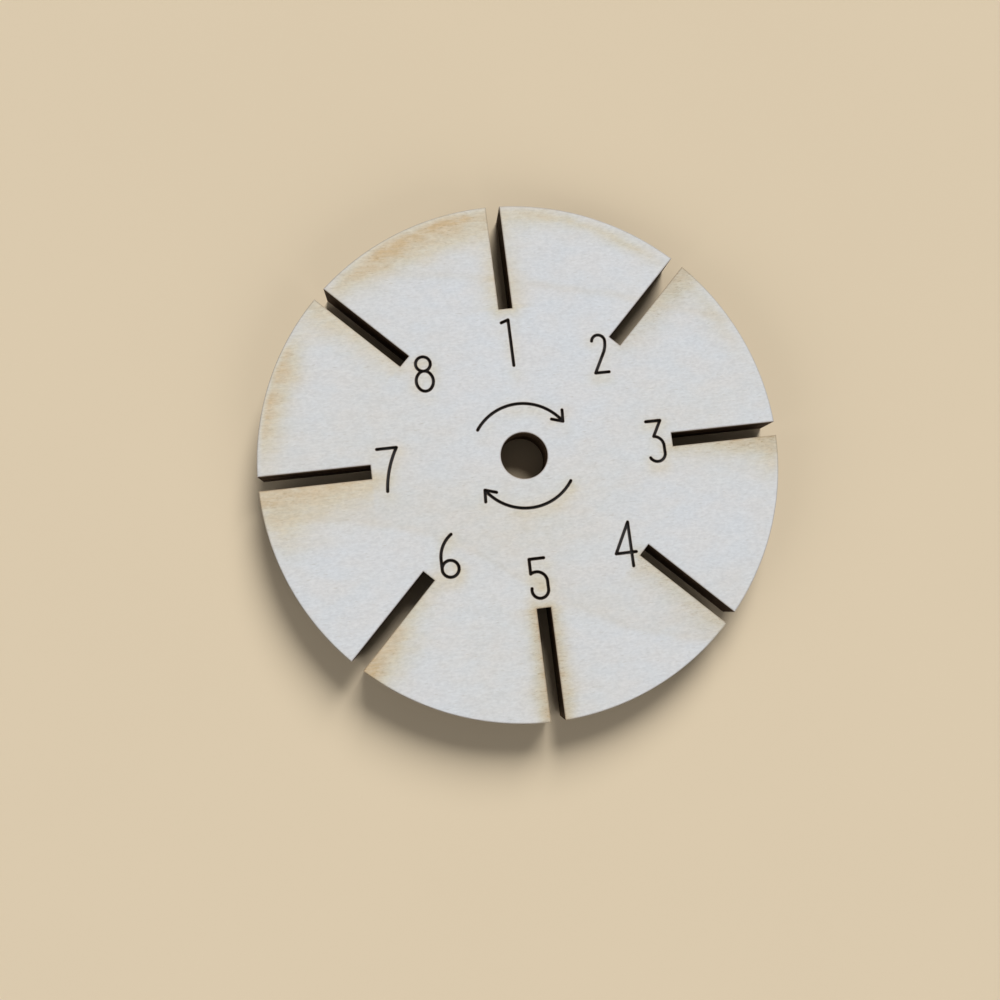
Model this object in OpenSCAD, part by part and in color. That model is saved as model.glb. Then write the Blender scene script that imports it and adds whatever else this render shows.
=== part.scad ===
// Eight-slot braiding disk, laser cut from five-ply plywood.
// The back face lies on z = 0, the hole's axis is the Z axis and slot 1 points along +Y.

/* [Disk] */
// Diameter of the disk
disk_d = 89; // [75:0.5:140]
// Diameter of the centre hole that the finished braid goes down through
hole_d = 8; // [4:0.1:14]

/* [Thread slots] */
// Width of a slot
slot_w = 2.4; // [1.2:0.1:4]
// Depth of a slot, from the rim to its square inner end
slot_depth = 18.6; // [10:0.1:22]

/* [Plywood] */
// Thickness of each of the two face veneers, whose grain runs along X
face_t = 1; // [0.6:0.05:2]
// Thickness of each of the two crossbands, whose grain runs along Y
crossband_t = 1.25; // [0.6:0.05:2.5]
// Thickness of the core veneer, whose grain runs along X
core_t = 1.1; // [0.6:0.05:2.5]
// Thickness of each of the four glue lines
glue_t = 0.1; // [0.05:0.01:0.3]

/* [Engraving] */
// Height of numeral 1, the tallest, between the middles of its strokes
numeral_h = 8.15; // [5:0.05:10]
// Width of an engraved stroke
stroke_w = 0.45; // [0.3:0.05:0.8]
// Depth of an engraved stroke
stroke_depth = 0.3; // [0.1:0.05:0.5]
// How much wider than the stroke the burn dot at each of its ends is
dot_extra = 0.04; // [0.02:0.01:0.2]

/* [Turn arrows] */
// Distance from the hole's edge to the middle of an arrow's stroke
arrow_gap = 5; // [3:0.1:7]
// Angle that one arrow sweeps
arrow_sweep = 110; // [60:5:150]
// Length of an arrow's two barbs
barb_l = 2; // [1:0.1:3]
// Angle between a barb and the arrow's stroke
barb_angle = 38; // [20:1:60]

/* [Hidden] */
$fn = 96;
// Cutters run this far past the faces that they open
cut_over = 1;

slot_count = 8;
slot_pitch = 360 / slot_count;
slot_1_angle = 90;
disk_r = disk_d / 2;
slot_end_r = disk_r - slot_depth;
// Height of numeral 1 as its strokes are drawn below
drawn_h = 8.15;
// Scale that the strokes being drawn take
$grow = 1;
arrow_r = hole_d / 2 + arrow_gap;
arrow_tip_angles = [35, 215];

// Heights of the layers' undersides, from the back face up
back_glue_z = face_t;
back_crossband_z = back_glue_z + glue_t;
lower_core_glue_z = back_crossband_z + crossband_t;
core_z = lower_core_glue_z + glue_t;
upper_core_glue_z = core_z + core_t;
front_crossband_z = upper_core_glue_z + glue_t;
front_glue_z = front_crossband_z + crossband_t;
front_face_z = front_glue_z + glue_t;

// Where each numeral's middle is: how far in from its slot's end, and how far clockwise of the slot's line
NUMERAL_PLACES = [
    [6.1, 0.2],
    [3.5, -0.7],
    [2.8, 0],
    [3.1, 1.3],
    [4.9, 0.2],
    [4.5, -0.5],
    [2.9, 0.1],
    [3.9, 0.4]
];

function polar(r, a) = [r * cos(a), r * sin(a)];
function slot_angle(k) = slot_1_angle - (k - 1) * slot_pitch;

// Middle of numeral k, beside the inner end of slot k
function numeral_at(k) =
    let (place = NUMERAL_PLACES[k - 1], a = slot_angle(k))
    polar(slot_end_r - place[0], a) + polar(place[1], a - 90);

// The outline that the laser cuts through every layer, t thick
module cut_layer(t) {
    difference() {
        cylinder(h = t, d = disk_d);
        translate([0, 0, -cut_over])
            cylinder(h = t + 2 * cut_over, d = hole_d);
        for (k = [1 : slot_count])
            rotate([0, 0, slot_angle(k)])
                translate([slot_end_r, -slot_w / 2, -cut_over])
                    cube([slot_depth + cut_over, slot_w, t + 2 * cut_over]);
    }
}

// The strokes below are cutters that stand on z = 0
module dot(p) {
    translate([p[0], p[1], 0])
        cylinder(h = stroke_depth + cut_over, d = stroke_w + dot_extra, $fn = 24);
}

module line_stroke(p, q) {
    start = $grow * p;
    run = $grow * (q - p);
    translate([start[0], start[1], 0])
        rotate([0, 0, atan2(run[1], run[0])])
            translate([0, -stroke_w / 2, 0])
                cube([norm(run), stroke_w, stroke_depth + cut_over]);
    dot(start);
    dot(start + run);
}

module arc_stroke(c, r, a0, a1) {
    middle = $grow * c;
    bend_r = $grow * r;
    translate([middle[0], middle[1], 0])
        rotate([0, 0, min(a0, a1)])
            rotate_extrude(angle = abs(a1 - a0))
                translate([bend_r - stroke_w / 2, 0])
                    square([stroke_w, stroke_depth + cut_over]);
    dot(middle + polar(bend_r, a0));
    dot(middle + polar(bend_r, a1));
}

module ring_stroke(c, r) {
    translate([$grow * c[0], $grow * c[1], 0])
        difference() {
            cylinder(h = stroke_depth + cut_over, r = $grow * r + stroke_w / 2);
            translate([0, 0, -cut_over])
                cylinder(h = stroke_depth + 3 * cut_over, r = $grow * r - stroke_w / 2);
        }
}

// Stem with a short flag
module numeral_1() {
    top = [0, 4.1];
    line_stroke(top, [0, -4.05]);
    line_stroke([-1.25, 3.65], top);
}

// Hook that bends into a straight diagonal, and base
module numeral_2() {
    hook = [0.05, 2.2];
    hook_r = 1.15;
    bend_r = 4.6;
    bend_end = -29;
    bend = hook + [hook_r - bend_r, 0];
    corner = [-1.15, -3.35];
    arc_stroke(hook, hook_r, 0, 172);
    arc_stroke(bend, bend_r, bend_end, 0);
    line_stroke(bend + polar(bend_r, bend_end), corner);
    line_stroke(corner, [1.25, -3.35]);
}

// Flat top, diagonal and round bowl
module numeral_3() {
    corner = [1.15, 3.55];
    shoulder = [-0.5, -0.9];
    shoulder_r = 1.75;
    shoulder_start = 85;
    bowl_r = 1.4;
    bowl = [shoulder[0] + shoulder_r - bowl_r, -2.15];
    line_stroke([-1.4, 3.55], corner);
    line_stroke(corner, shoulder + polar(shoulder_r, shoulder_start));
    arc_stroke(shoulder, shoulder_r, 0, shoulder_start);
    line_stroke(shoulder + [shoulder_r, 0], bowl + [bowl_r, 0]);
    arc_stroke(bowl, bowl_r, -153, 0);
}

// Stem, diagonal and a bar that crosses the stem
module numeral_4() {
    apex = [0.9, 3.75];
    corner = [-1.8, -1.4];
    line_stroke(apex, [0.9, -3.75]);
    line_stroke(apex, corner);
    line_stroke(corner, [1.7, -1.4]);
}

// Flat top, short upright and round bowl
module numeral_5() {
    corner = [-1.25, 3.4];
    shoulder = [-0.35, -0.55];
    shoulder_r = 1.75;
    shoulder_start = 122;
    bowl_r = 1.4;
    bowl = [shoulder[0] + shoulder_r - bowl_r, -1.85];
    line_stroke(corner, [1.25, 3.4]);
    line_stroke(corner, shoulder + polar(shoulder_r, shoulder_start));
    arc_stroke(shoulder, shoulder_r, 0, shoulder_start);
    line_stroke(shoulder + [shoulder_r, 0], bowl + [bowl_r, 0]);
    arc_stroke(bowl, bowl_r, -195, 0);
}

// Long curve that runs straight down into the side of a small round bowl
module numeral_6() {
    bowl = [0.15, -2.1];
    bowl_r = 1.4;
    side = bowl - [bowl_r, 0];
    sweep_r = 5;
    sweep = [side[0] + sweep_r, -0.5];
    ring_stroke(bowl, bowl_r);
    line_stroke(side, sweep - [sweep_r, 0]);
    arc_stroke(sweep, sweep_r, 125, 180);
}

// Flat top and a stem that bends a little
module numeral_7() {
    corner = [1.7, 3.6];
    stem_r = 17;
    stem_start = 150;
    line_stroke([-1.6, 3.6], corner);
    arc_stroke(corner - polar(stem_r, stem_start), stem_r, stem_start, 175.8);
}

// Small ring on a taller oval of four arcs
module numeral_8() {
    ring_r = 1.25;
    oval = [0, -1.3];
    half_w = 1.45;
    half_h = 1.75;
    cap_r = 1.25;
    rise = half_h - cap_r;
    side_r = (half_w ^ 2 + rise ^ 2 - cap_r ^ 2) / (2 * (half_w - cap_r));
    shift = side_r - half_w;
    turn = atan2(rise, shift);
    ring_stroke(oval + [0, half_h + ring_r], ring_r);
    arc_stroke(oval + [0, rise], cap_r, turn, 180 - turn);
    arc_stroke(oval - [0, rise], cap_r, 180 + turn, 360 - turn);
    arc_stroke(oval - [shift, 0], side_r, -turn, turn);
    arc_stroke(oval + [shift, 0], side_r, 180 - turn, 180 + turn);
}

module numeral(k) {
    $grow = numeral_h / drawn_h;
    if (k == 1) numeral_1();
    if (k == 2) numeral_2();
    if (k == 3) numeral_3();
    if (k == 4) numeral_4();
    if (k == 5) numeral_5();
    if (k == 6) numeral_6();
    if (k == 7) numeral_7();
    if (k == 8) numeral_8();
}

// Clockwise arrow around the hole, with its tip at angle a
module turn_arrow(a) {
    tip = polar(arrow_r, a);
    heading = a - 90;
    arc_stroke([0, 0], arrow_r, a, a + arrow_sweep);
    for (side = [-1, 1])
        line_stroke(tip, tip + polar(barb_l, heading + 180 + side * barb_angle));
}

module engraving() {
    for (k = [1 : slot_count])
        translate(numeral_at(k))
            numeral(k);
    for (a = arrow_tip_angles)
        turn_arrow(a);
}

module back_face_veneer() {
    color([0.86, 0.81, 0.73])
        cut_layer(face_t);
}

module back_glue_line() {
    color([0.2, 0.13, 0.09])
        translate([0, 0, back_glue_z])
            cut_layer(glue_t);
}

module back_crossband() {
    color([0.3, 0.21, 0.14])
        translate([0, 0, back_crossband_z])
            cut_layer(crossband_t);
}

module lower_core_glue_line() {
    color([0.2, 0.13, 0.09])
        translate([0, 0, lower_core_glue_z])
            cut_layer(glue_t);
}

module core_veneer() {
    color([0.34, 0.25, 0.17])
        translate([0, 0, core_z])
            cut_layer(core_t);
}

module upper_core_glue_line() {
    color([0.2, 0.13, 0.09])
        translate([0, 0, upper_core_glue_z])
            cut_layer(glue_t);
}

module front_crossband() {
    color([0.3, 0.21, 0.14])
        translate([0, 0, front_crossband_z])
            cut_layer(crossband_t);
}

module front_glue_line() {
    color([0.2, 0.13, 0.09])
        translate([0, 0, front_glue_z])
            cut_layer(glue_t);
}

module front_face_veneer() {
    color([0.88, 0.84, 0.78])
        translate([0, 0, front_face_z])
            difference() {
                cut_layer(face_t);
                translate([0, 0, face_t - stroke_depth])
                    engraving();
            }
}

back_face_veneer();
back_glue_line();
back_crossband();
lower_core_glue_line();
core_veneer();
upper_core_glue_line();
front_crossband();
front_glue_line();
front_face_veneer();
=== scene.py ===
import math

import bpy
import numpy as np
from mathutils import Matrix, Vector
from mathutils.geometry import delaunay_2d_cdt


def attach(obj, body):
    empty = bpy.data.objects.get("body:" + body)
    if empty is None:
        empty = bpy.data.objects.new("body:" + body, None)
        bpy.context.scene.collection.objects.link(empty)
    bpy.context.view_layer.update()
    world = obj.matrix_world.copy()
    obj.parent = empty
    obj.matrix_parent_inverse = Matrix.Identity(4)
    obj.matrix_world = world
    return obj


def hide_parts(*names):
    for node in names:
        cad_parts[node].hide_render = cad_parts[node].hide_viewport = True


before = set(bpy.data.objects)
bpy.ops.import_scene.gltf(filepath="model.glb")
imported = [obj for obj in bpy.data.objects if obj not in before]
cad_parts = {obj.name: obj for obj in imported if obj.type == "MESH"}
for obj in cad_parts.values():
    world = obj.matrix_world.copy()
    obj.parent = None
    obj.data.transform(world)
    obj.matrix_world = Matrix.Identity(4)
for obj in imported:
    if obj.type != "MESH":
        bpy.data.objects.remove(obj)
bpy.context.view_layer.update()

# The sizes below are in millimetres and the angles in degrees, and meshes are made in metres
MM = 0.001
SLOT_COUNT = 8
SLOT_PITCH = 360 / SLOT_COUNT
SLOT_1_ANGLE = 90


def cad_points(node):
    """The corners of a CAD node, in millimetres."""
    return np.array([v.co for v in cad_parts[node].data.vertices], float) / MM


def layer_heights(node):
    """Underside and top of a CAD node, in millimetres."""
    z = cad_points(node)[:, 2]
    return float(z.min()), float(z.max())


# The cut's own sizes, from the back veneer's corners
BACK_CORNERS = cad_points("back_face_veneer")
CORNER_R = np.hypot(BACK_CORNERS[:, 0], BACK_CORNERS[:, 1])
DISK_R = float(CORNER_R.max())
HOLE_R = float(CORNER_R.min())
AT_SLOT_1 = (np.abs(BACK_CORNERS[:, 0]) < HOLE_R) & (BACK_CORNERS[:, 1] > 2 * HOLE_R)
SLOT_1_CORNERS = BACK_CORNERS[AT_SLOT_1]
SLOT_HALF = float(np.abs(SLOT_1_CORNERS[:, 0]).min())
SLOT_END = float(SLOT_1_CORNERS[:, 1].min())
SLOT_DEPTH = DISK_R - SLOT_END
FACE_Z = layer_heights("front_face_veneer")[1]

# Engraving, as the CAD has it
STROKE_W = 0.45
STROKE_DEPTH = 0.3
ARROW_GAP = 5
ARROW_R = HOLE_R + ARROW_GAP
ARROW_SWEEP = 110
ARROW_TIP_ANGLES = (35, 215)
BARB_L = 2
BARB_ANGLE = 38
# Each numeral's middle: how far inside the end of its slot, and how far clockwise of the slot's line
NUMERAL_PLACES = (
    (6.1, 0.2),
    (3.5, -0.7),
    (2.8, 0),
    (3.1, 1.3),
    (4.9, 0.2),
    (4.5, -0.5),
    (2.9, 0.1),
    (3.9, 0.4),
)
# How deeply the runs of each numeral's strokes, and of the arrows', are charred, and how far the deep char
# where a stroke starts or stops goes
NUMERAL_CHAR = (0.85, 0.25, 0.4, 0.25, 1, 0.7, 0.3, 0.6)
ARROW_CHAR = 0.6
END_CHAR_REACH = 0.8

# How finely the cut is followed
WALL_STEPS = 44
END_STEPS = 6
RIM_STEPS = 76
HOLE_STEPS = 120
# Eased edges: how far in each edge starts to fall away, and the share of that at which a face's edge bends
EDGE_EASE = 0.07
EDGE_BEND_SHARE = 0.3
EDGE_BEND = EDGE_BEND_SHARE * EDGE_EASE
PLY_EASE = 0.025
GLUE_RECESS = 0.035
# Rows of points inside the cut, which carry the scorch and the smoke
EDGE_ROWS = (0.14, 0.26, 0.5, 0.9)
# Rows of points across half an engraved stroke and just outside it, and their spacing along the stroke and
# around its ends
STROKE_ROWS = (0, 0.08, 0.15, 0.195, 0.225, 0.275, 0.36)
STROKE_STEP = 0.2
STROKE_LEAST_POINTS = 3
STROKE_END_TURN = 30
POINT_GAP = 0.05
# The even grid's step on each face, and how far it stays from the rows of points, as shares of its step
FRONT_GRID = 0.5
BACK_GRID = 0.9
CUT_CLEARANCE = 0.5
STROKE_CLEARANCE = 0.25


def polar(radius, degrees):
    a = math.radians(degrees)
    return np.array([radius * math.cos(a), radius * math.sin(a)])


def slot_angle(k):
    return SLOT_1_ANGLE - (k - 1) * SLOT_PITCH


# Engraved strokes
class Line:
    """A straight stroke."""

    def __init__(self, start, end):
        self.start = np.array(start, float)
        self.run = np.array(end, float) - self.start
        self.length = float(np.hypot(*self.run))

    def moved(self, by):
        return Line(self.start + by, self.start + self.run + by)

    def points(self, shares):
        """Points on the stroke's middle line, and the direction across it at each."""
        side = np.array([-self.run[1], self.run[0]]) / self.length
        middle = self.start + np.outer(shares, self.run)
        return middle, np.tile(side, (len(shares), 1))

    def distance(self, xy):
        share = np.clip((xy - self.start) @ self.run / self.length**2, 0, 1)
        return np.linalg.norm(xy - self.start - np.outer(share, self.run), axis=1)


class Arc:
    """A round stroke, counter-clockwise from its first angle to its last."""

    def __init__(self, centre, radius, first, last):
        self.centre = np.array(centre, float)
        self.radius = radius
        self.first = first
        self.sweep = last - first
        self.length = radius * math.radians(self.sweep)

    def moved(self, by):
        return Arc(self.centre + by, self.radius, self.first, self.first + self.sweep)

    def points(self, shares):
        a = np.radians(self.first + self.sweep * shares)
        out = np.stack([np.cos(a), np.sin(a)], axis=1)
        return self.centre + self.radius * out, out

    def distance(self, xy):
        away = xy - self.centre
        turn = np.mod(np.degrees(np.arctan2(away[:, 1], away[:, 0])) - self.first, 360)
        nearer_end = np.where(turn - self.sweep < 360 - turn, self.sweep, 0)
        turn = np.where(turn <= self.sweep, turn, nearer_end)
        a = np.radians(self.first + turn)
        nearest = self.centre + self.radius * np.stack([np.cos(a), np.sin(a)], axis=1)
        return np.linalg.norm(xy - nearest, axis=1)


def arc_start(arc):
    return arc.centre + polar(arc.radius, arc.first)


def arc_end(arc):
    return arc.centre + polar(arc.radius, arc.first + arc.sweep)


def numeral_1():
    top = (0, 4.1)
    return [Line(top, (0, -4.05)), Line((-1.25, 3.65), top)]


def numeral_2():
    hook = Arc((0.05, 2.2), 1.15, 0, 172)
    bend_r = 4.6
    bend = Arc(hook.centre + (hook.radius - bend_r, 0), bend_r, -29, 0)
    corner = (-1.15, -3.35)
    return [hook, bend, Line(arc_start(bend), corner), Line(corner, (1.25, -3.35))]


def numeral_3():
    corner = (1.15, 3.55)
    shoulder = Arc((-0.5, -0.9), 1.75, 0, 85)
    bowl_r = 1.4
    bowl = Arc((shoulder.centre[0] + shoulder.radius - bowl_r, -2.15), bowl_r, -153, 0)
    side = Line(arc_start(shoulder), arc_end(bowl))
    return [Line((-1.4, 3.55), corner), Line(corner, arc_end(shoulder)), shoulder, side, bowl]


def numeral_4():
    apex = (0.9, 3.75)
    corner = (-1.8, -1.4)
    return [Line(apex, (0.9, -3.75)), Line(apex, corner), Line(corner, (1.7, -1.4))]


def numeral_5():
    corner = (-1.25, 3.4)
    shoulder = Arc((-0.35, -0.55), 1.75, 0, 122)
    bowl_r = 1.4
    bowl = Arc((shoulder.centre[0] + shoulder.radius - bowl_r, -1.85), bowl_r, -195, 0)
    side = Line(arc_start(shoulder), arc_end(bowl))
    return [Line(corner, (1.25, 3.4)), Line(corner, arc_end(shoulder)), shoulder, side, bowl]


def numeral_6():
    bowl = Arc((0.15, -2.1), 1.4, 0, 360)
    side = bowl.centre - (bowl.radius, 0)
    sweep_r = 5
    sweep = Arc((side[0] + sweep_r, -0.5), sweep_r, 125, 180)
    return [bowl, Line(side, arc_end(sweep)), sweep]


def numeral_7():
    corner = np.array([1.7, 3.6])
    stem_r = 17
    stem_start = 150
    stem = Arc(corner - polar(stem_r, stem_start), stem_r, stem_start, 175.8)
    return [Line((-1.6, 3.6), corner), stem]


def numeral_8():
    ring_r = 1.25
    oval = np.array([0, -1.3])
    half_w = 1.45
    half_h = 1.75
    cap_r = 1.25
    rise = half_h - cap_r
    side_r = (half_w**2 + rise**2 - cap_r**2) / (2 * (half_w - cap_r))
    shift = side_r - half_w
    turn = math.degrees(math.atan2(rise, shift))
    ring = Arc(oval + (0, half_h + ring_r), ring_r, 0, 360)
    top = Arc(oval + (0, rise), cap_r, turn, 180 - turn)
    bottom = Arc(oval - (0, rise), cap_r, 180 + turn, 360 - turn)
    right = Arc(oval - (shift, 0), side_r, -turn, turn)
    left = Arc(oval + (shift, 0), side_r, 180 - turn, 180 + turn)
    return [ring, top, bottom, right, left]


def numeral_at(k):
    """Middle of numeral k, beside the inner end of slot k."""
    inset, shift = NUMERAL_PLACES[k - 1]
    return polar(SLOT_END - inset, slot_angle(k)) + polar(shift, slot_angle(k) - 90)


def turn_arrow(tip_angle):
    """Clockwise arrow around the hole."""
    tip = polar(ARROW_R, tip_angle)
    backward = tip_angle + 90
    barbs = [Line(tip, tip + polar(BARB_L, backward + way * BARB_ANGLE)) for way in (-1, 1)]
    return [Arc((0, 0), ARROW_R, tip_angle, tip_angle + ARROW_SWEEP)] + barbs


def engraving():
    """Every stroke, with how deeply its run is charred."""
    numerals = (numeral_1, numeral_2, numeral_3, numeral_4, numeral_5, numeral_6, numeral_7, numeral_8)
    strokes = []
    for k, numeral in enumerate(numerals, start=1):
        strokes += [(stroke.moved(numeral_at(k)), NUMERAL_CHAR[k - 1]) for stroke in numeral()]
    for tip_angle in ARROW_TIP_ANGLES:
        strokes += [(stroke, ARROW_CHAR) for stroke in turn_arrow(tip_angle)]
    return strokes


ENGRAVING = engraving()
STROKES = [stroke for stroke, _ in ENGRAVING]
STROKE_CHAR = np.array([char for _, char in ENGRAVING])


def stroke_distance(xy):
    """Distance of each point from the nearest stroke's middle line."""
    return np.min([stroke.distance(xy) for stroke in STROKES], axis=0)


def char_depth(xy):
    """How deeply the nearest stroke is charred, 0 to 1. Away from the strokes it is 1, for the cut edges."""
    distance = np.array([stroke.distance(xy) for stroke in STROKES])
    run = STROKE_CHAR[distance.argmin(axis=0)]
    ends = np.concatenate([stroke.points(np.array([0, 1]))[0] for stroke in STROKES])
    from_end = np.min([np.hypot(*(xy - end).T) for end in ends], axis=0)
    char = run + (1 - run) * np.exp(-((from_end / END_CHAR_REACH) ** 2))
    return np.where(distance.min(axis=0) > 2 * STROKE_W, 1, char)


# Noise: how many random values it holds each way, the share of its coarse octave, and how many times finer
# the other octave is
LATTICE_SIZE = 256
COARSE_SHARE = 0.65
FINER = 2.3
# Uneven fields: length and width of the features, seed, and the two values that the field runs between
SLOT_RAGGED = (5, 2.2, 10, 0.75, 1.25)
RIM_RAGGED = (7, 3, 30, 0.8, 1.2)
STROKE_PATCHES = (6, 4, 50, -0.4, 1.8)
HAZE_PATCHES = (26, 15, 60, -0.7, 1.3)
SMOKE_STREAKS = (5, 0.9, 70, 0.82, 1.18)
RING_WANDER = (9, 9, 80, -0.45, 0.45)
BACK_RAGGED = (5, 2.5, 90, 0.5, 1.5)
BACK_HAZE = (22, 14, 95, 0, 0.15)


def smooth_noise(x, y, seed):
    """Smooth noise from 0 to 1, with one random value at each whole step of x and y."""
    lattice = np.random.default_rng(seed).random((LATTICE_SIZE, LATTICE_SIZE))
    whole_x = np.floor(x).astype(int)
    whole_y = np.floor(y).astype(int)
    share_x = x - whole_x
    share_y = y - whole_y
    share_x = share_x * share_x * (3 - 2 * share_x)
    share_y = share_y * share_y * (3 - 2 * share_y)
    left = whole_x % LATTICE_SIZE
    right = (whole_x + 1) % LATTICE_SIZE
    near = whole_y % LATTICE_SIZE
    far = (whole_y + 1) % LATTICE_SIZE
    near_value = lattice[left, near] * (1 - share_x) + lattice[right, near] * share_x
    far_value = lattice[left, far] * (1 - share_x) + lattice[right, far] * share_x
    return near_value * (1 - share_y) + far_value * share_y


def uneven(xy, field, copy=0):
    """An uneven field, drawn out along the grain. Each copy of it has its own pattern."""
    length, width, seed, low, high = field
    x = xy[:, 0] / length
    y = xy[:, 1] / width
    coarse = smooth_noise(x, y, seed + copy)
    fine = smooth_noise(FINER * x, FINER * y, seed + copy + 1)
    return low + (high - low) * (COARSE_SHARE * coarse + (1 - COARSE_SHARE) * fine)


def slot_axes(xy, k):
    """How far each point lies along slot k's line, and how far clockwise of it."""
    out = polar(1, slot_angle(k))
    return xy @ out, xy @ np.array([out[1], -out[0]])


def slot_distance(xy, k):
    along, across = slot_axes(xy, k)
    return np.hypot(np.maximum(SLOT_END - along, 0), np.maximum(np.abs(across) - SLOT_HALF, 0))


def cut_distance(xy):
    """Distance of each point from the nearest cut: rim, hole or slot."""
    radius = np.hypot(xy[:, 0], xy[:, 1])
    nearest = np.minimum(DISK_R - radius, radius - HOLE_R)
    for k in range(1, SLOT_COUNT + 1):
        nearest = np.minimum(nearest, slot_distance(xy, k))
    return nearest


# Smoke beside each slot: strength at its rim end and inner end on the clockwise side, the same on the
# other side, and how far it reaches at the rim end and the inner end
SLOT_SMOKE = (
    ((0.05, 0.5), (0.25, 0.5), (1.8, 2.4)),
    ((0.75, 0.2), (0, 0), (4.2, 2.4)),
    ((0.8, 0.35), (0, 0), (3.2, 2.0)),
    ((0.42, 0.4), (0, 0), (3.6, 2.6)),
    ((0.8, 0.7), (0.65, 0.55), (1.9, 1.7)),
    ((0, 0), (0.95, 0.3), (4.6, 2.2)),
    ((0, 0), (0.75, 0.55), (6.6, 3.4)),
    ((0, 0), (0.55, 0.3), (4.2, 2.6)),
)
# Past a slot's inner end the smoke thins out this many times sooner
END_THINNING = 1.6
# How much grey soot each slot's smoke carries
SLOT_SOOT = (0, 1, 0.8, 1, 1, 0.3, 0, 0)

# Smoke inside the rim: middle angle, half its spread, strength, depth of its darkest line, how far in it goes
RIM_SMOKE = (
    (115, 12, 0.95, 1.7, 3.8),
    (128, 8, 0.4, 1.4, 2.8),
    (100, 9, 0.7, 1.6, 3.6),
    (79, 11, 0.45, 1.4, 2.4),
    (57, 9, 0.35, 2.2, 1.5),
    (153, 6, 0.8, 1.0, 2.8),
    (164, 11, 0.75, 0.9, 3.0),
    (30, 9, 0.3, 1.8, 2.4),
    (191, 6, 0.3, 2.5, 5.0),
    (-6, 5, 0.35, 1.0, 3.4),
)
SMOKE_EDGE_POWER = 1.7
# Share of that smoke's strength that is left at the very edge
RIM_EDGE_SHARE = 0.35
# Thin lines of soot inside the rim: middle angle, half its spread, strength, depth inside the rim
SOOT_LINES = ((117, 8, 0.5, 1.7), (101, 7, 0.4, 1.7), (66, 14, 0.3, 2.0))
SOOT_LINE_W = 0.7
# Smoke that drifted down from the engraving, in patches of up to this many times its strength
STROKE_DRIFT = np.array([0.1, -0.9])
STROKE_SMOKE = 0.28
STROKE_SMOKE_REACH = 1.3
STROKE_PATCH_LIMIT = 1.4
# Oval patches of smoke, below the hole and in the bowl of numeral 5: middle, half its size, strength
SMOKE_PATCHES = (((0.5, -11), (13, 8), 0.2), ((0, -22.6), (1.3, 1.3), 0.45))
# Strength of the faint haze over the whole face
HAZE = 0.1

# Stain where the cut broke through the back face: strength, how far it reaches and how much of it is soot
BACK_STAIN = 0.75
BACK_STAIN_REACH = 2.2
BACK_SOOT = 0.4


def fade(distance, reach):
    return np.exp(-((np.maximum(distance, 0) / reach) ** SMOKE_EDGE_POWER))


def slot_smoke(xy, k):
    clockwise, other, (rim_reach, inner_reach) = SLOT_SMOKE[k - 1]
    along, across = slot_axes(xy, k)
    share = np.clip((along - SLOT_END) / SLOT_DEPTH, 0, 1)
    reach = inner_reach + (rim_reach - inner_reach) * share
    reach = np.where(along < SLOT_END, reach / END_THINNING, reach)
    side = (1 + np.clip(across / SLOT_HALF, -1, 1)) / 2
    here = side * (clockwise[1] + (clockwise[0] - clockwise[1]) * share)
    there = (1 - side) * (other[1] + (other[0] - other[1]) * share)
    return (here + there) * fade(slot_distance(xy, k) * uneven(xy, SLOT_RAGGED, k), reach)


def angle_share(xy, middle, spread):
    turn = np.mod(np.degrees(np.arctan2(xy[:, 1], xy[:, 0])) - middle + 180, 360) - 180
    return np.exp(-((turn / spread) ** 2))


def ragged_depth(xy):
    """Depth inside the rim, with an uneven edge for smoke to follow."""
    return (DISK_R - np.hypot(xy[:, 0], xy[:, 1])) * uneven(xy, RIM_RAGGED)


def rim_smoke(xy, puff):
    middle, spread, strength, ridge, reach = puff
    depth = ragged_depth(xy)
    outer = RIM_EDGE_SHARE + (1 - RIM_EDGE_SHARE) * np.clip(depth / ridge, 0, 1)
    return strength * angle_share(xy, middle, spread) * outer * fade(depth - ridge, reach)


def soot_line(xy, line):
    middle, spread, strength, depth = line
    return strength * angle_share(xy, middle, spread) * fade(np.abs(ragged_depth(xy) - depth), SOOT_LINE_W)


def smoke(xy):
    """Smoke stain on the front face, 0 to 1."""
    clear = np.ones(len(xy))
    for k in range(1, SLOT_COUNT + 1):
        clear *= 1 - slot_smoke(xy, k)
    for puff in RIM_SMOKE:
        clear *= 1 - rim_smoke(xy, puff)
    for line in SOOT_LINES:
        clear *= 1 - soot_line(xy, line)
    below_strokes = STROKE_SMOKE * fade(stroke_distance(xy - STROKE_DRIFT), STROKE_SMOKE_REACH)
    clear *= 1 - below_strokes * np.clip(uneven(xy, STROKE_PATCHES), 0, STROKE_PATCH_LIMIT)
    for middle, half_size, strength in SMOKE_PATCHES:
        clear *= 1 - strength * fade(np.hypot(*((xy - np.array(middle)) / half_size).T), 1)
    haze = HAZE * np.clip(uneven(xy, HAZE_PATCHES), 0, 1)
    return np.clip((1 - clear) * uneven(xy, SMOKE_STREAKS) + haze, 0, 1)


def soot(xy):
    """Grey soot on the front face, 0 to 1."""
    clear = np.ones(len(xy))
    for k, share in enumerate(SLOT_SOOT, start=1):
        clear *= 1 - share * slot_smoke(xy, k)
    return 1 - clear


def back_smoke(xy):
    """Smoke stain on the back face, 0 to 1."""
    stain = BACK_STAIN * fade(cut_distance(xy) * uneven(xy, BACK_RAGGED), BACK_STAIN_REACH)
    return np.clip(stain + uneven(xy, BACK_HAZE), 0, 1)


# Lines of the two growth rings that show: the upper one arches, and the lower one steps down
UPPER_RING_Y = 31
UPPER_RING_SLOPE = 0.19
UPPER_RING_BEND = 0.0022
LOWER_RING_Y = -20.5
LOWER_RING_DROP = 15.5
LOWER_RING_STEP_X = -3
LOWER_RING_STEP_W = 22
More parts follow.
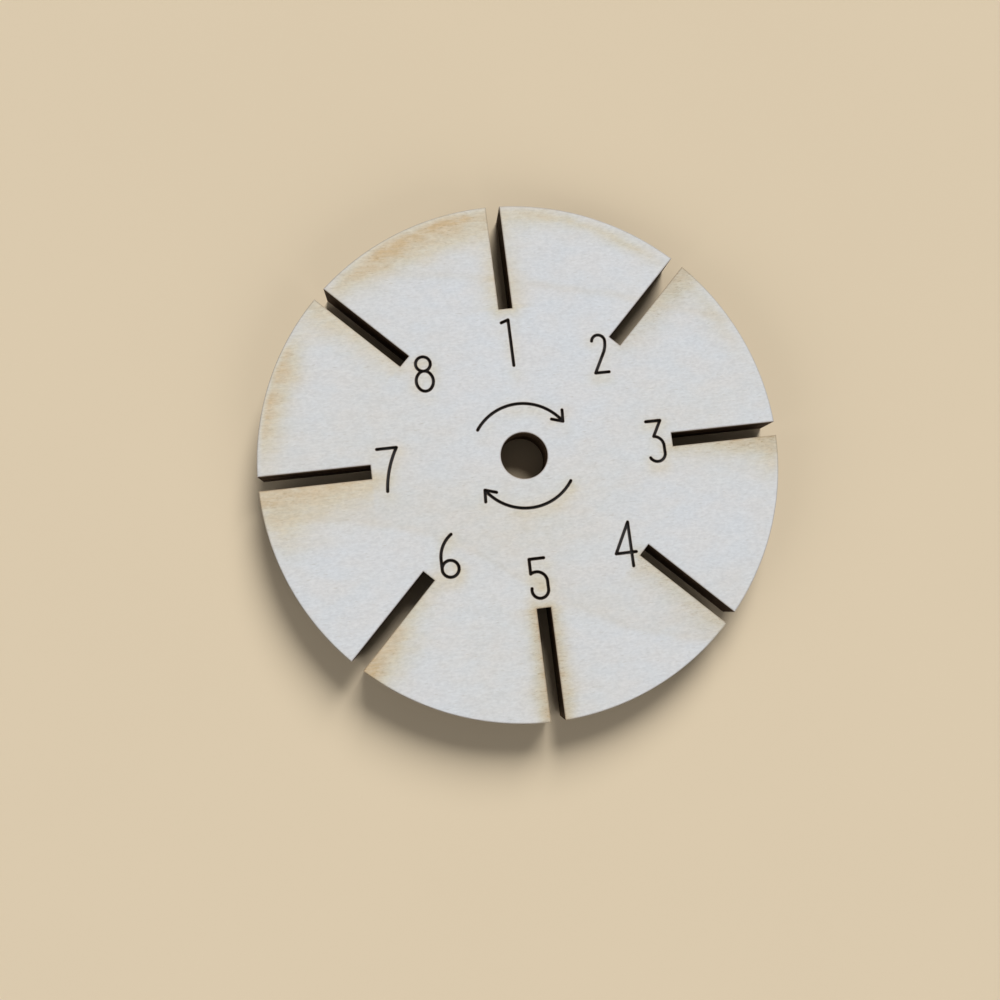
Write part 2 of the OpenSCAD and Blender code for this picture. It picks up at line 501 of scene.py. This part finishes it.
# The tone above each ring's line: strength, and how far up it fades
UPPER_RING_TONE = (0.15, 3)
LOWER_RING_TONE = (0.6, 11)
TONE_RISE = 0.5
RING_LINE = 0.75
RING_LINE_W = 0.8


def growth_ring(above, tone, tone_reach):
    """One ring, from the height above it: a fine line with a tone that fades above it."""
    line = RING_LINE * np.exp(-((above / RING_LINE_W) ** 2))
    rise = np.clip(above / TONE_RISE, 0, 1)
    return np.maximum(line, tone * rise * np.exp(-np.maximum(above, 0) / tone_reach))


def growth_rings(xy):
    """Growth-ring figure of the sliced face veneer, 0 to 1."""
    x, y = xy.T
    wander = uneven(xy, RING_WANDER)
    upper_line = UPPER_RING_Y - UPPER_RING_SLOPE * x - UPPER_RING_BEND * x**2
    lower_line = LOWER_RING_Y - LOWER_RING_DROP * np.tanh((x - LOWER_RING_STEP_X) / LOWER_RING_STEP_W)
    upper = growth_ring(y - upper_line + wander, *UPPER_RING_TONE)
    lower = growth_ring(y - lower_line + wander, *LOWER_RING_TONE)
    return np.maximum(upper, lower)


# A dark line along the cut: how strong it is at the edge, how far in and how sharply it fades, and how strong
# the burn is at the foot of the eased edge
EDGE_DARK_LINE = 0.36
EDGE_DARK_LINE_REACH = 0.13
EDGE_DARK_LINE_POWER = 1.3
WALL_BURN = 0.5
# An engraved groove: how square its bottom is, the share of its half width that is burnt through, and how far
# and how sharply the burn fades past that
GROOVE_POWER = 4
GROOVE_BURNT_SHARE = 0.85
GROOVE_BURN_REACH = 0.07
GROOVE_BURN_POWER = 1.5


def scorch_at_cut(points, face_z):
    """A dark line along the face's edge, 0 to 1, and burn that grows down the eased edge to the charred wall.
    """
    inside = np.maximum(cut_distance(points[:, :2]), 0)
    # The thin dark line along the face's cut edge
    near = EDGE_DARK_LINE * np.exp(-((inside / EDGE_DARK_LINE_REACH) ** EDGE_DARK_LINE_POWER))
    down = WALL_BURN * np.clip(np.abs(points[:, 2] - face_z) / EDGE_EASE, 0, 1)
    return np.maximum(near, down)


def groove_depth(distance):
    """Depth of an engraved stroke's rounded bottom at a distance from its middle line."""
    share = np.clip(distance / (STROKE_W / 2), 0, 1)
    return STROKE_DEPTH * (1 - share**GROOVE_POWER)


def groove_burn(distance):
    """Burn in and just beside an engraved stroke, 0 to 1."""
    past_lip = np.maximum(distance - GROOVE_BURNT_SHARE * STROKE_W / 2, 0)
    return np.exp(-((past_lip / GROOVE_BURN_REACH) ** GROOVE_BURN_POWER))


# Meshes
# The triangulation's kind that keeps only what lies within the edges, and the distance at which points merge
WITHIN_EDGES = 1
SAME_POINT = 1e-7
SHARP_ANGLE = 40


def outline(inset):
    """The cut's outer loop, with its slots, and the hole's loop, both moved into the wood by inset."""
    rim_r = DISK_R - inset
    half = SLOT_HALF + inset
    end = SLOT_END - inset
    lip = math.asin(half / rim_r)
    mouth = rim_r * math.cos(lip)
    pitch = math.radians(SLOT_PITCH)
    inward = np.linspace(mouth, end, WALL_STEPS, endpoint=False)
    across = np.linspace(-half, half, END_STEPS, endpoint=False)
    outward = np.linspace(end, mouth, WALL_STEPS, endpoint=False)
    outer = []
    for k in range(SLOT_COUNT):
        a = math.radians(SLOT_1_ANGLE) + k * pitch
        along = np.array([math.cos(a), math.sin(a)])
        left = np.array([-along[1], along[0]])
        turn = np.linspace(a + lip, a + pitch - lip, RIM_STEPS, endpoint=False)
        outer.append(np.outer(inward, along) - half * left)
        outer.append(end * along + np.outer(across, left))
        outer.append(np.outer(outward, along) + half * left)
        outer.append(rim_r * np.stack([np.cos(turn), np.sin(turn)], axis=1))
    turn = np.linspace(0, 2 * math.pi, HOLE_STEPS, endpoint=False)
    hole = (HOLE_R + inset) * np.stack([np.cos(turn), np.sin(turn)], axis=1)
    return np.concatenate(outer), hole


def loop_edges(first, count):
    here = np.arange(count)
    return np.stack([first + here, first + (here + 1) % count], axis=1)


def triangulate(outer, hole, extra):
    """Triangles over the wood between the loops, as places in the joined list of all the points."""
    points = np.concatenate([outer, hole, extra])
    spots = [Vector(p) for p in points]
    edges = np.concatenate([loop_edges(0, len(outer)), loop_edges(len(outer), len(hole))])
    _, _, faces, origins, _, _ = delaunay_2d_cdt(spots, edges.tolist(), [], WITHIN_EDGES, SAME_POINT)
    source = np.array([origin[0] for origin in origins])
    triangles = source[np.array(faces)]
    on_hole = (triangles >= len(outer)) & (triangles < len(outer) + len(hole))
    triangles = triangles[~on_hole.all(axis=1)]
    corner_a, corner_b, corner_c = (points[triangles[:, i]] for i in range(3))
    ab = corner_b - corner_a
    ac = corner_c - corner_a
    area = ab[:, 0] * ac[:, 1] - ab[:, 1] * ac[:, 0]
    triangles[area < 0] = triangles[area < 0][:, ::-1]
    return triangles


def thinned(points, gap):
    """The points with no two in the same small square."""
    _, first = np.unique(np.round(points / gap).astype(int), axis=0, return_index=True)
    return points[np.sort(first)]


def stroke_points():
    """Rows of points along and just beside every engraved stroke, and around its ends."""
    found = []
    for stroke in STROKES:
        count = max(STROKE_LEAST_POINTS, math.ceil(stroke.length / STROKE_STEP) + 1)
        middle, side = stroke.points(np.linspace(0, 1, count))
        for row in STROKE_ROWS:
            found.append(middle + row * side)
            found.append(middle - row * side)
        for end in (middle[0], middle[-1]):
            for row in STROKE_ROWS[1:]:
                found.append(np.array([end + polar(row, a) for a in range(0, 360, STROKE_END_TURN)]))
    return thinned(np.concatenate(found), POINT_GAP)


def grid_points(step):
    """Points in even triangles over the whole disk."""
    count = math.ceil(DISK_R / step) + 1
    column, row = np.meshgrid(np.arange(-count, count + 1), np.arange(-2 * count, 2 * count + 1))
    x = (column + (row % 2) / 2) * step
    y = row * step * math.sqrt(3) / 2
    return np.stack([x.ravel(), y.ravel()], axis=1)


def face_points(step, engraved):
    """Points inside the face: rows along the cut, rows along the strokes and an even grid elsewhere."""
    rows = [np.concatenate(outline(EDGE_EASE + row)) for row in EDGE_ROWS]
    grid = grid_points(step)
    grid = grid[cut_distance(grid) > EDGE_EASE + EDGE_ROWS[-1] + CUT_CLEARANCE * step]
    if engraved:
        grid = grid[stroke_distance(grid) > STROKE_ROWS[-1] + STROKE_CLEARANCE * step]
        rows.append(stroke_points())
    return np.concatenate(rows + [grid])


def at_height(xy, z):
    return np.column_stack([xy, np.full(len(xy), z)])


def walls(rows, outer_count, hole_count):
    """Quads between each row of the cut and the next one up."""
    ring = outer_count + hole_count
    quads = []
    for row in range(rows - 1):
        base = row * ring
        here, there = loop_edges(base, outer_count).T
        quads.append(np.stack([here, there, there + ring, here + ring], axis=1))
        here, there = loop_edges(base + outer_count, hole_count).T
        quads.append(np.stack([there, here, here + ring, there + ring], axis=1))
    return np.concatenate(quads)


NO_POINTS = np.zeros((0, 2))


def build_layer(name, profile, top_points=NO_POINTS, base_points=NO_POINTS, eased_top=0, eased_base=0):
    """A layer of the disk. The profile gives each row's height and how far inside the cut it lies, from the
    underside up. The bands of an eased edge belong to the face that they lead to. Returns the object, its
    points, the places of those on the top, and which faces are cut walls."""
    rows = [outline(inset) for _, inset in profile]
    heights = [z for z, _ in profile]
    outer_count = len(rows[0][0])
    hole_count = len(rows[0][1])
    ring = outer_count + hole_count
    points = [at_height(np.concatenate(row), z) for row, z in zip(rows, heights)]
    points.append(at_height(top_points, heights[-1]))
    points.append(at_height(base_points, heights[0]))
    points = np.concatenate(points)
    top_ring = ring * (len(profile) - 1)
    top_extra = ring * len(profile)
    base_extra = top_extra + len(top_points)
    top_places = np.concatenate([top_ring + np.arange(ring), top_extra + np.arange(len(top_points))])
    base_places = np.concatenate([np.arange(ring), base_extra + np.arange(len(base_points))])
    top = top_places[triangulate(*rows[-1], top_points)]
    base = base_places[triangulate(*rows[0], base_points)[:, ::-1]]
    sides = walls(len(profile), outer_count, hole_count)
    mesh = bpy.data.meshes.new(name)
    mesh.from_pydata((points * MM).tolist(), [], top.tolist() + base.tolist() + sides.tolist())
    mesh.polygons.foreach_set("use_smooth", np.ones(len(mesh.polygons), bool))
    is_wall = np.zeros(len(mesh.polygons), np.int32)
    first_wall = len(top) + len(base) + ring * eased_base
    is_wall[first_wall : len(is_wall) - ring * eased_top] = 1
    obj = bpy.data.objects.new(name, mesh)
    bpy.context.scene.collection.objects.link(obj)
    return obj, points, top_places, is_wall


def finish_mesh(obj, points, materials, is_wall):
    mesh = obj.data
    mesh.vertices.foreach_set("co", (points * MM).astype(np.float32).ravel())
    for material in materials:
        mesh.materials.append(material)
    if len(materials) > 1:
        mesh.polygons.foreach_set("material_index", is_wall)
    mesh.update()
    mesh.set_sharp_from_angle(angle=math.radians(SHARP_ANGLE))


def paint(obj, name, values):
    """Keeps one number at each point of the mesh for its material to read."""
    layer = obj.data.attributes.new(name, "FLOAT", "POINT")
    layer.data.foreach_set("value", np.asarray(values, np.float32))


# Materials
# Places of a colour mix's two colours and of its result among the node's sockets
MIX_COLOURS = (6, 7)
MIX_RESULT = 2


class Shader:
    """A material of nodes around one principled shader."""

    def __init__(self, name, specular):
        self.material = bpy.data.materials.new(name)
        self.material.use_nodes = True
        self.tree = self.material.node_tree
        self.surface = self.tree.nodes["Principled BSDF"]
        self.surface.inputs["Specular IOR Level"].default_value = specular
        self.place = self.tree.nodes.new("ShaderNodeTexCoord").outputs["Object"]

    def put(self, socket, value):
        if isinstance(value, bpy.types.NodeSocket):
            self.tree.links.new(value, socket)
        elif isinstance(value, tuple):
            socket.default_value = (*value, 1)
        else:
            socket.default_value = value

    def look(self, colour, roughness):
        self.put(self.surface.inputs["Base Color"], colour)
        self.put(self.surface.inputs["Roughness"], roughness)

    def noise(self, per_mm, detail=2.0, distortion=0.0, seed=0.0):
        """Noise with this many features per millimetre along X, Y and Z."""
        mapping = self.tree.nodes.new("ShaderNodeMapping")
        mapping.inputs["Location"].default_value = (seed, seed, seed)
        mapping.inputs["Scale"].default_value = tuple(n / MM for n in per_mm)
        self.tree.links.new(self.place, mapping.inputs["Vector"])
        texture = self.tree.nodes.new("ShaderNodeTexNoise")
        texture.inputs["Scale"].default_value = 1
        texture.inputs["Detail"].default_value = detail
        texture.inputs["Distortion"].default_value = distortion
        self.tree.links.new(mapping.outputs["Vector"], texture.inputs["Vector"])
        return texture.outputs["Fac"]

    def painted(self, name):
        node = self.tree.nodes.new("ShaderNodeAttribute")
        node.attribute_name = name
        return node.outputs["Fac"]

    def facing(self, axis):
        """How squarely the surface faces along an axis, 0 to 1."""
        geometry = self.tree.nodes.new("ShaderNodeNewGeometry")
        split = self.tree.nodes.new("ShaderNodeSeparateXYZ")
        self.tree.links.new(geometry.outputs["Normal"], split.inputs["Vector"])
        return self.math("ABSOLUTE", split.outputs[axis])

    def spread(self, value, low, high, to_low=0.0, to_high=1.0):
        """Maps low to high onto to_low to to_high, and holds the ends."""
        node = self.tree.nodes.new("ShaderNodeMapRange")
        for socket, number in zip(("From Min", "From Max", "To Min", "To Max"), (low, high, to_low, to_high)):
            node.inputs[socket].default_value = number
        self.tree.links.new(value, node.inputs["Value"])
        return node.outputs["Result"]

    def math(self, operation, *values):
        node = self.tree.nodes.new("ShaderNodeMath")
        node.operation = operation
        for socket, value in zip(node.inputs, values):
            self.put(socket, value)
        return node.outputs["Value"]

    def weighted(self, first, *others):
        """Sum of values, each given with its weight."""
        total = self.math("MULTIPLY", *first)
        for other in others:
            total = self.math("ADD", total, self.math("MULTIPLY", *other))
        return total

    def mix(self, share, a, b, blend="MIX"):
        node = self.tree.nodes.new("ShaderNodeMix")
        node.data_type = "RGBA"
        node.blend_type = blend
        self.put(node.inputs["Factor"], share)
        for place, colour in zip(MIX_COLOURS, (a, b)):
            self.put(node.inputs[place], colour)
        return node.outputs[MIX_RESULT]

    def tinted(self, colour, tint, share=1.0):
        """The colour with a share of the tint laid over it."""
        return self.mix(share, colour, tint, "MULTIPLY")

    def ramp(self, value, stops):
        node = self.tree.nodes.new("ShaderNodeValToRGB")
        elements = node.color_ramp.elements
        while len(elements) < len(stops):
            elements.new(0.5)
        for element, (at, colour) in zip(elements, stops):
            element.position = at
            element.color = (*colour, 1)
        self.tree.links.new(value, node.inputs["Fac"])
        return node.outputs["Color"]

    def bump(self, height, depth_mm, strength):
        node = self.tree.nodes.new("ShaderNodeBump")
        node.inputs["Distance"].default_value = depth_mm * MM
        node.inputs["Strength"].default_value = strength
        self.tree.links.new(height, node.inputs["Height"])
        self.tree.links.new(node.outputs["Normal"], self.surface.inputs["Normal"])


CLEAN_WOOD = (0.69, 0.702, 0.718)
FIBRE_DARK = (0.605, 0.615, 0.629)
CHAR = (0.012, 0.01, 0.009)
THIN_CHAR = (0.05, 0.05, 0.051)
SCORCH = (0.16, 0.095, 0.045)
# Tints that are laid over the clean wood
COOL_TINT = (0.983, 1.0, 1.015)
WARM_TINT = (1.01, 0.995, 0.98)
SMOKE_TINTS = ((0.0, (1, 1, 1)), (0.5, (0.98, 0.885, 0.705)), (1.0, (0.915, 0.69, 0.42)))
SOOT_TINT = (0.85, 0.87, 0.89)
PORE_TINT = (0.76, 0.695, 0.615)
RING_TINT = (0.965, 0.935, 0.885)
FLECK_TINT = (0.8, 0.76, 0.7)
# How much burn it takes for wood to start to turn to scorch, and scorch to char, and to end it
SCORCH_RANGE = (0.03, 0.5)
CHAR_RANGE = (0.35, 0.85)
EDGE_COLOURS = ((0.0, (0.022, 0.015, 0.01)), (0.5, (0.065, 0.04, 0.023)), (1.0, (0.16, 0.1, 0.055)))
END_GRAIN_DARKENING = 0.13
GLUE_COLOURS = ((0.0, (0.008, 0.006, 0.005)), (1.0, (0.035, 0.02, 0.012)))


def face_wood(name):
    """Pale sanded birch veneer with its grain along X, smoke stain and charred engraving."""
    shader = Shader(name, specular=0.05)
    grain = shader.noise((1.3, 2.6, 1.3), distortion=0.5)
    fibre = shader.noise((0.5, 4.0, 0.5), distortion=0.5, seed=3.0)
    mottle = shader.noise((0.45, 0.9, 0.45), detail=3.0, distortion=0.4, seed=7.0)
    hue = shader.noise((0.16, 0.26, 0.16), detail=3.0, seed=9.0)
    fleck = shader.noise((0.7, 4.2, 0.7), detail=1.0, seed=11.0)
    pore = shader.noise((1.1, 4.4, 1.1), distortion=1.0, seed=13.0)
    tone = shader.weighted((grain, 0.65), (fibre, 0.15), (mottle, 0.2))
    wood = shader.mix(shader.spread(tone, 0.36, 0.64), FIBRE_DARK, CLEAN_WOOD)
    wood = shader.tinted(wood, shader.mix(shader.spread(hue, 0.35, 0.65), COOL_TINT, WARM_TINT))
    wood = shader.tinted(wood, RING_TINT, shader.painted("rings"))
    wood = shader.tinted(wood, FLECK_TINT, shader.spread(fleck, 0.7, 0.76, to_high=0.55))
    patchy = shader.spread(shader.weighted((mottle, 0.6), (fibre, 0.4)), 0.32, 0.68, to_low=1.2, to_high=0.8)
    stain = shader.math("MULTIPLY", shader.painted("smoke"), patchy)
    wood = shader.tinted(wood, shader.ramp(stain, SMOKE_TINTS))
    soot_share = shader.painted("soot")
    wood = shader.tinted(wood, SOOT_TINT, soot_share)
    stained_pores = shader.spread(stain, 0.1, 0.7, to_high=0.6)
    filled = shader.math("MAXIMUM", stained_pores, shader.spread(soot_share, 0.05, 0.4))
    wood = shader.tinted(wood, PORE_TINT, shader.math("MULTIPLY", shader.spread(pore, 0.56, 0.72), filled))
    burn = shader.painted("burn")
    wood = shader.mix(shader.spread(burn, *SCORCH_RANGE), wood, SCORCH)
    char = shader.mix(shader.painted("char"), THIN_CHAR, CHAR)
    wood = shader.mix(shader.spread(burn, *CHAR_RANGE), wood, char)
    shader.look(wood, shader.spread(fibre, 0.3, 0.7, to_low=0.7, to_high=0.58))
    shader.bump(shader.weighted((grain, 1), (fibre, 0.3)), depth_mm=0.03, strength=0.5)
    return shader.material


def charred_edge(name, grain_axis, lightness):
    """Laser-cut edge: dark pitted end grain, browner and streaked where the grain runs along the cut."""
    shader = Shader(name, specular=0.1)
    end_grain = shader.facing(grain_axis)
    passes = shader.noise((3.4, 3.4, 0.25), detail=3.0, distortion=0.5, seed=2.0)
    fibres = shader.noise((0.35, 0.35, 4.5), detail=3.0, distortion=1.0, seed=5.0)
    pits = shader.noise((4.0, 4.0, 3.0), seed=12.0)
    patches = shader.noise((0.22, 0.22, 0.8), detail=3.0, distortion=0.6, seed=9.0)
    pits_over_fibres = shader.math("MULTIPLY", end_grain, shader.math("SUBTRACT", pits, fibres))
    figure = shader.math("ADD", fibres, pits_over_fibres)
    tone = shader.weighted((passes, 0.3), (figure, 0.4), (patches, 0.3), (end_grain, -END_GRAIN_DARKENING))
    stops = [(at, [lightness * c for c in colour]) for at, colour in EDGE_COLOURS]
    colour = shader.ramp(shader.spread(tone, 0.25, 0.7), stops)
    shader.look(colour, shader.spread(patches, 0.3, 0.7, to_low=0.7, to_high=0.88))
    shader.bump(shader.weighted((passes, 1), (figure, 0.8)), depth_mm=0.05, strength=0.6)
    return shader.material


def burnt_glue(name):
    """Resin film, burnt back between the plies."""
    shader = Shader(name, specular=0.15)
    beads = shader.noise((1.4, 1.4, 1.4), seed=4.0)
    colour = shader.ramp(shader.spread(beads, 0.3, 0.7), GLUE_COLOURS)
    shader.look(colour, shader.spread(beads, 0.3, 0.7, to_low=0.45, to_high=0.7))
    shader.bump(beads, depth_mm=0.03, strength=0.4)
    return shader.material


EDGE_ALONG_X = charred_edge("charred_edge_grain_x", "X", 1.0)
EDGE_ALONG_Y = charred_edge("charred_edge_grain_y", "Y", 0.85)
FRONT_WOOD = face_wood("birch_front_face")
BACK_WOOD = face_wood("birch_back_face")
GLUE = burnt_glue("burnt_glue_film")


# Pieces
def take_place(obj, node):
    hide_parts(node)
    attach(obj, "root")


def front_face():
    low, high = layer_heights("front_face_veneer")
    profile = (
        (low, PLY_EASE),
        (low + PLY_EASE, 0),
        (high - EDGE_EASE, 0),
        (high - EDGE_BEND, EDGE_BEND),
        (high, EDGE_EASE),
    )
    face = face_points(FRONT_GRID, engraved=True)
    obj, points, top, is_wall = build_layer("front_face", profile, top_points=face, eased_top=2)
    xy = points[:, :2]
    from_stroke = stroke_distance(xy)
    paint(obj, "smoke", smoke(xy))
    paint(obj, "soot", soot(xy))
    paint(obj, "rings", growth_rings(xy))
    paint(obj, "burn", np.maximum(scorch_at_cut(points, high), groove_burn(from_stroke)))
    paint(obj, "char", char_depth(xy))
    points[top, 2] -= groove_depth(from_stroke[top])
    finish_mesh(obj, points, (FRONT_WOOD, EDGE_ALONG_X), is_wall)
    take_place(obj, "front_face_veneer")


def back_face():
    low, high = layer_heights("back_face_veneer")
    profile = (
        (low, EDGE_EASE),
        (low + EDGE_BEND, EDGE_BEND),
        (low + EDGE_EASE, 0),
        (high - PLY_EASE, 0),
        (high, PLY_EASE),
    )
    face = face_points(BACK_GRID, engraved=False)
    obj, points, _, is_wall = build_layer("back_face", profile, base_points=face, eased_base=2)
    xy = points[:, :2]
    paint(obj, "smoke", back_smoke(xy))
    paint(obj, "soot", BACK_SOOT * back_smoke(xy))
    paint(obj, "rings", growth_rings(-xy))
    paint(obj, "burn", scorch_at_cut(points, low))
    paint(obj, "char", np.ones(len(xy)))
    finish_mesh(obj, points, (BACK_WOOD, EDGE_ALONG_X), is_wall)
    take_place(obj, "back_face_veneer")


def inner_ply(name, node, material):
    low, high = layer_heights(node)
    profile = ((low, PLY_EASE), (low + PLY_EASE, 0), (high - PLY_EASE, 0), (high, PLY_EASE))
    obj, points, _, is_wall = build_layer(name, profile)
    finish_mesh(obj, points, (material,), is_wall)
    take_place(obj, node)


def glue_film(name, node):
    low, high = layer_heights(node)
    obj, points, _, is_wall = build_layer(name, ((low, GLUE_RECESS), (high, GLUE_RECESS)))
    finish_mesh(obj, points, (GLUE,), is_wall)
    take_place(obj, node)


front_face()
back_face()
inner_ply("front_cross_ply", "front_crossband", EDGE_ALONG_Y)
inner_ply("back_cross_ply", "back_crossband", EDGE_ALONG_Y)
inner_ply("core_ply", "core_veneer", EDGE_ALONG_X)
glue_film("front_glue_film", "front_glue_line")
glue_film("upper_core_glue_film", "upper_core_glue_line")
glue_film("lower_core_glue_film", "lower_core_glue_line")
glue_film("back_glue_film", "back_glue_line")

# Stage: the floor lies just under the disk
FLOOR_COLOUR = (0.72, 0.6, 0.43)
FLOOR_SHADE = 0.97
FLOOR_ROUGHNESS = 0.9
FLOOR_HALF = 20000
FLOOR_DROP = 0.05
FLOOR_CORNERS = ((-1, -1), (1, -1), (1, 1), (-1, 1))
WORLD_STRENGTH = 0.1
# Each lamp: its name, the direction that it shines from, its strength and how wide it looks
LAMPS = (
    ("key", (0.63, 1.52, 1.15), 3.85, 30),
    ("left_fill", (-1.7, -0.62, 0.62), 0.95, 40),
    ("near_fill", (0.76, -1.64, 0.62), 0.95, 40),
)


def floor():
    mesh = bpy.data.meshes.new("floor")
    half = FLOOR_HALF * MM
    corners = [(x * half, y * half, -FLOOR_DROP * MM) for x, y in FLOOR_CORNERS]
    mesh.from_pydata(corners, [], [(0, 1, 2, 3)])
    shader = Shader("floor_paper", specular=0)
    grain = shader.noise((0.02, 0.02, 0.02), detail=3.0)
    shade = tuple(FLOOR_SHADE * c for c in FLOOR_COLOUR)
    shader.look(shader.mix(grain, shade, FLOOR_COLOUR), FLOOR_ROUGHNESS)
    mesh.materials.append(shader.material)
    obj = bpy.data.objects.new("floor", mesh)
    bpy.context.scene.collection.objects.link(obj)


def lamp(name, shines_from, strength, width):
    """A soft lamp that is far away, so that it lights the whole floor evenly."""
    data = bpy.data.lights.new(name, "SUN")
    data.energy = strength
    data.angle = math.radians(width)
    obj = bpy.data.objects.new(name, data)
    obj.location = shines_from
    obj.rotation_euler = (-Vector(shines_from)).to_track_quat("-Z", "Y").to_euler()
    bpy.context.scene.collection.objects.link(obj)


def seen_rays(nodes, links):
    """1 for the rays that show the background: straight from the camera, mirrored or through glass."""
    path = nodes.new("ShaderNodeLightPath")
    total = path.outputs["Is Camera Ray"]
    for kind in ("Is Glossy Ray", "Is Transmission Ray"):
        add = nodes.new("ShaderNodeMath")
        add.operation = "ADD"
        add.use_clamp = True
        links.new(total, add.inputs[0])
        links.new(path.outputs[kind], add.inputs[1])
        total = add.outputs["Value"]
    return total


def studio():
    """A plain background in the floor's colour, a little even light and the lamps."""
    world = bpy.data.worlds.new("studio")
    world.use_nodes = True
    bpy.context.scene.world = world
    nodes = world.node_tree.nodes
    links = world.node_tree.links
    seen = nodes.new("ShaderNodeBackground")
    seen.inputs["Color"].default_value = (*FLOOR_COLOUR, 1)
    lit = nodes["Background"]
    lit.inputs["Color"].default_value = (1, 1, 1, 1)
    lit.inputs["Strength"].default_value = WORLD_STRENGTH
    blend = nodes.new("ShaderNodeMixShader")
    links.new(seen_rays(nodes, links), blend.inputs["Fac"])
    links.new(lit.outputs["Background"], blend.inputs[1])
    links.new(seen.outputs["Background"], blend.inputs[2])
    links.new(blend.outputs["Shader"], nodes["World Output"].inputs["Surface"])
    for settings in LAMPS:
        lamp(*settings)
    bpy.context.scene.view_settings.view_transform = "Standard"


# Camera: where it stands, the point that it looks at and how far it is rolled, from the photographed disk
CAMERA_AT = np.array([-19.1, -22.8, FACE_Z + 141.5])
CAMERA_AIM = np.array([-5.05, -7.1, FACE_Z])
CAMERA_ROLL = 7.1
CAMERA_LENS = 30.6
CAMERA_SENSOR = 36
CAMERA_NEAREST = 10


def camera():
    data = bpy.data.cameras.new("camera")
    data.sensor_width = CAMERA_SENSOR
    data.lens = CAMERA_LENS
    data.clip_start = CAMERA_NEAREST * MM
    obj = bpy.data.objects.new("camera", data)
    bpy.context.scene.collection.objects.link(obj)
    back = Vector(CAMERA_AT - CAMERA_AIM).normalized()
    ahead = Vector((0, 1, 0))
    up = (ahead - ahead.dot(back) * back).normalized()
    up = Matrix.Rotation(math.radians(-CAMERA_ROLL), 3, back) @ up
    right = up.cross(back)
    turn = Matrix((right, up, back)).transposed().to_4x4()
    obj.matrix_world = Matrix.Translation(Vector(CAMERA_AT * MM)) @ turn
    bpy.context.scene.camera = obj


floor()
studio()
camera()
